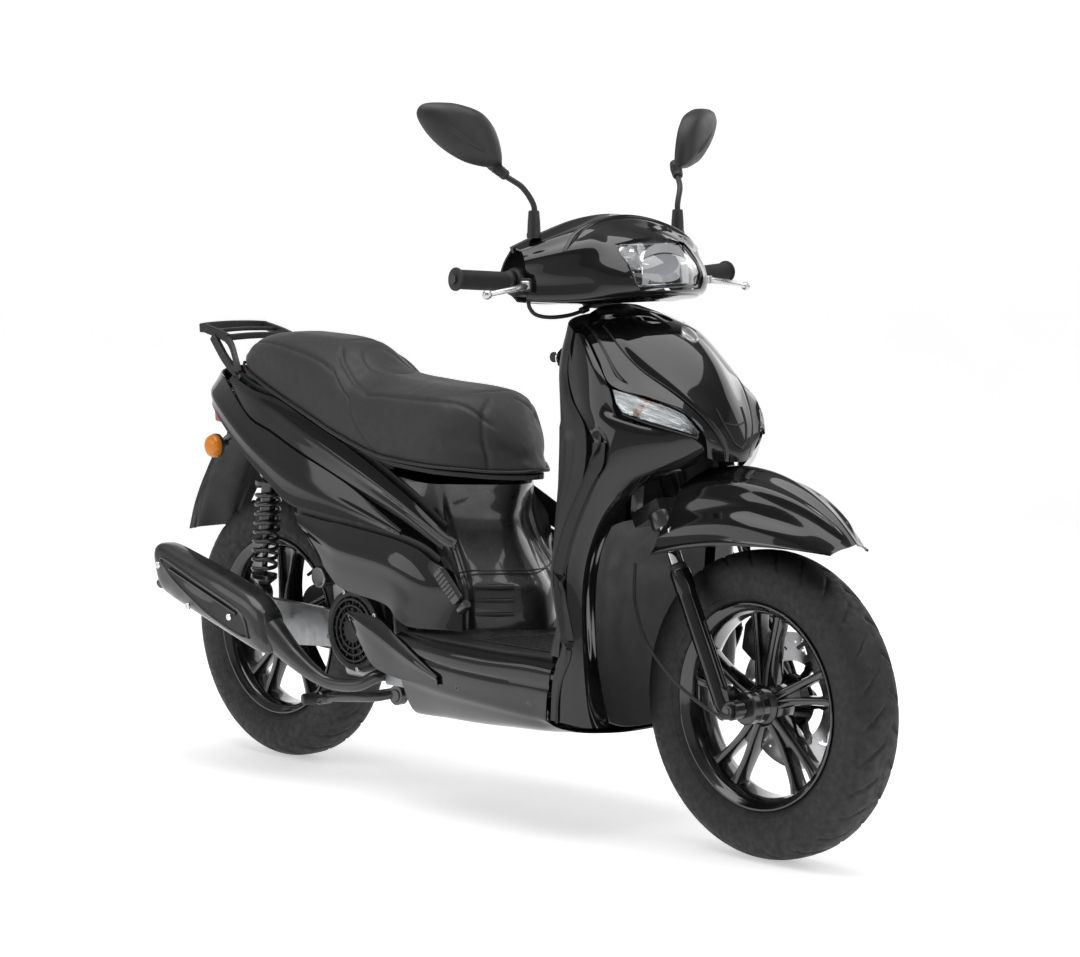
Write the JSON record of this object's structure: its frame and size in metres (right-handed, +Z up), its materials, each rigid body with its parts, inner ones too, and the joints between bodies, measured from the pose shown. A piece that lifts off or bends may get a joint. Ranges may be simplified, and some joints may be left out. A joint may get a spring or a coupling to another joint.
{
  "type": "moped scooter",
  "caption": "Step-through moped scooter with large wheels, swinging engine, telescopic fork, two-level seat, carrier and turning handlebar.",
  "frame": {"origin": "on the ground under the middle of the overall box", "axes": "+X forward, +Y to the rider's left, +Z up"},
  "size_m": [1.866, 0.7344, 1.302],
  "materials": {
    "alloy_black": "gloss black lacquer",
    "amber_lens": "amber",
    "bare_alloy": "cast silver",
    "chrome_part": "polished",
    "clear_lens": "clear",
    "dark_exhaust": "satin black heat paint",
    "disc_steel": "ground",
    "frame_paint": "satin black paint",
    "gloss_black": "deep gloss black",
    "grip_rubber": "ribbed black rubber",
    "matte_black": "fine matte grain",
    "red_lens": "red",
    "seat_vinyl": "grained dark grey vinyl",
    "tyre_rubber": "dull black"
  },
  "bodies": {
    "chassis": {"frame": "frame_paint", "nose_panel": "gloss_black", "apron_right": "gloss_black", "apron_left": "gloss_black", "front_indicator_right": "clear_lens", "front_indicator_left": "clear_lens", "leg_shield_inner": "matte_black", "front_liner": "matte_black", "floorboard": "matte_black", "belly_pan": "gloss_black", "seat_post_cover": "gloss_black", "side_cover_right": "gloss_black", "side_cover_left": "gloss_black", "tail_fairing": "gloss_black", "lower_cover_right": "gloss_black", "lower_cover_left": "gloss_black", "tail_light": "red_lens", "rear_mudguard": "matte_black", "rear_indicator_right": "amber_lens", "rear_indicator_left": "amber_lens", "luggage_rack": "matte_black", "helmet_box": "matte_black", "fuel_tank": "matte_black"},
    "steering": {"steering_stem": "frame_paint", "handlebar": "frame_paint", "cowl_front": "gloss_black", "cowl_rear": "matte_black", "headlight": "clear_lens", "left_grip": "grip_rubber", "front_fender": "gloss_black"},
    "throttle": {"throttle_grip": "grip_rubber"},
    "lever_right": {"brake_lever_right": "bare_alloy"},
    "lever_left": {"brake_lever_left": "bare_alloy"},
    "mirror_stalk_right": {"mirror_arm_right": "matte_black"},
    "mirror_stalk_left": {"mirror_arm_left": "matte_black"},
    "mirror_right": {"mirror_head_right": "matte_black"},
    "mirror_left": {"mirror_head_left": "matte_black"},
    "starter": {"starter_button": "matte_black"},
    "signals": {"signal_switch": "matte_black"},
    "key": {"ignition_key": "bare_alloy"},
    "fork": {"fork_lower": "frame_paint", "speedo_cable": "grip_rubber"},
    "front_wheel": {"front_rim": "alloy_black", "front_tyre": "tyre_rubber", "brake_disc": "disc_steel"},
    "seat": {"seat_base": "matte_black", "seat_cushion": "seat_vinyl"},
    "engine": {"engine_unit": "bare_alloy", "fan_cover": "matte_black", "muffler": "dark_exhaust"},
    "rear_wheel": {"rear_rim": "alloy_black", "rear_tyre": "tyre_rubber"},
    "stand": {"center_stand": "frame_paint"},
    "peg_right": {"footrest_right": "matte_black"},
    "peg_left": {"footrest_left": "matte_black"},
    "damper_body": {"shock_body": "frame_paint", "shock_spring": "frame_paint"},
    "damper_rod": {"shock_rod": "chrome_part"}
  },
  "joints": [
    {"name": "steering_turn", "type": "hinge", "parent": "chassis", "child": "steering", "pos_m": [0.38718, 0, 0.7], "axis": [-0.4384, 0, 0.8988], "range_deg": [-35, 35]},
    {"name": "fork_travel", "type": "slide", "parent": "steering", "child": "fork", "axis": [-0.4384, 0, 0.8988], "range_m": [-0.015, 0.065], "stiffness_N_per_m": 9000, "springref_m": -0.04},
    {"name": "front_wheel_spin", "type": "hinge", "parent": "fork", "child": "front_wheel", "pos_m": [0.665, 0, 0.268], "axis": [0, 1, 0], "continuous": true},
    {"name": "throttle_twist", "type": "hinge", "parent": "steering", "child": "throttle", "pos_m": [0.2442, -0.22, 0.9897], "axis": [-0.1205, -0.991, 0.0579], "range_deg": [0, 70], "stiffness_Nm_per_rad": 0.3},
    {"name": "brake_lever_right_pull", "type": "hinge", "parent": "steering", "child": "lever_right", "pos_m": [0.287, -0.226, 0.985], "axis": [0, 0, -1], "range_deg": [0, 15], "stiffness_Nm_per_rad": 2},
    {"name": "brake_lever_left_pull", "type": "hinge", "parent": "steering", "child": "lever_left", "pos_m": [0.287, 0.226, 0.985], "axis": [0, 0, 1], "range_deg": [0, 15], "stiffness_Nm_per_rad": 2},
    {"name": "mirror_stalk_right_turn", "type": "hinge", "parent": "steering", "child": "mirror_stalk_right", "pos_m": [0.258, -0.179, 1.072], "axis": [0, 0, 1], "range_deg": [-30, 30]},
    {"name": "mirror_stalk_left_turn", "type": "hinge", "parent": "steering", "child": "mirror_stalk_left", "pos_m": [0.258, 0.179, 1.072], "axis": [0, 0, 1], "range_deg": [-30, 30]},
    {"name": "mirror_right_tilt", "type": "hinge", "parent": "mirror_stalk_right", "child": "mirror_right", "pos_m": [0.212, -0.222, 1.186], "axis": [-0.3649, -0.9311, 0], "range_deg": [-8, 8]},
    {"name": "mirror_left_tilt", "type": "hinge", "parent": "mirror_stalk_left", "child": "mirror_left", "pos_m": [0.212, 0.222, 1.186], "axis": [0.3649, -0.9311, 0], "range_deg": [-8, 8]},
    {"name": "starter_press", "type": "slide", "parent": "steering", "child": "starter", "axis": [1, 0, 0], "range_m": [0, 0.0012], "stiffness_N_per_m": 400},
    {"name": "signal_slide", "type": "slide", "parent": "steering", "child": "signals", "axis": [0, 1, 0], "range_m": [-0.004, 0.004]},
    {"name": "key_turn", "type": "hinge", "parent": "chassis", "child": "key", "pos_m": [0.216, -0.072, 0.85], "axis": [1, 0, 0], "range_deg": [-45, 90]},
    {"name": "seat_open", "type": "hinge", "parent": "chassis", "child": "seat", "pos_m": [0.078, 0, 0.618], "axis": [0, 1, 0], "range_deg": [0, 55]},
    {"name": "engine_swing", "type": "hinge", "parent": "chassis", "child": "engine", "pos_m": [-0.16, 0, 0.335], "axis": [0, 1, 0], "range_deg": [-3, 6], "stiffness_Nm_per_rad": 2800, "springref_deg": -5.1},
    {"name": "rear_wheel_spin", "type": "hinge", "parent": "engine", "child": "rear_wheel", "pos_m": [-0.665, 0, 0.268], "axis": [0, 1, 0], "continuous": true},
    {"name": "stand_fold", "type": "hinge", "parent": "engine", "child": "stand", "pos_m": [-0.245, 0, 0.18], "axis": [0, -1, 0], "range_deg": [0, 70]},
    {"name": "footrest_right_fold", "type": "hinge", "parent": "chassis", "child": "peg_right", "pos_m": [0.04, -0.166, 0.398], "axis": [0.7704, 0, 0.6376], "range_deg": [0, 80]},
    {"name": "footrest_left_fold", "type": "hinge", "parent": "chassis", "child": "peg_left", "pos_m": [0.04, 0.166, 0.398], "axis": [-0.7704, 0, -0.6376], "range_deg": [0, 80]},
    {"name": "damper_swing", "type": "hinge", "parent": "chassis", "child": "damper_body", "pos_m": [-0.59, -0.112, 0.592], "axis": [0, 1, 0], "range_deg": [-12, 12]},
    {"name": "damper_travel", "type": "slide", "parent": "damper_body", "child": "damper_rod", "axis": [0.0987, 0, 0.9951], "range_m": [-0.035, 0.06], "deforming": ["shock_spring"]}
  ],
  "couplings": [
    {"joint": "damper_swing", "follows": "engine_swing", "ratio": 0.06592},
    {"joint": "damper_travel", "follows": "engine_swing", "m_per_rad": 0.45376}
  ]
}
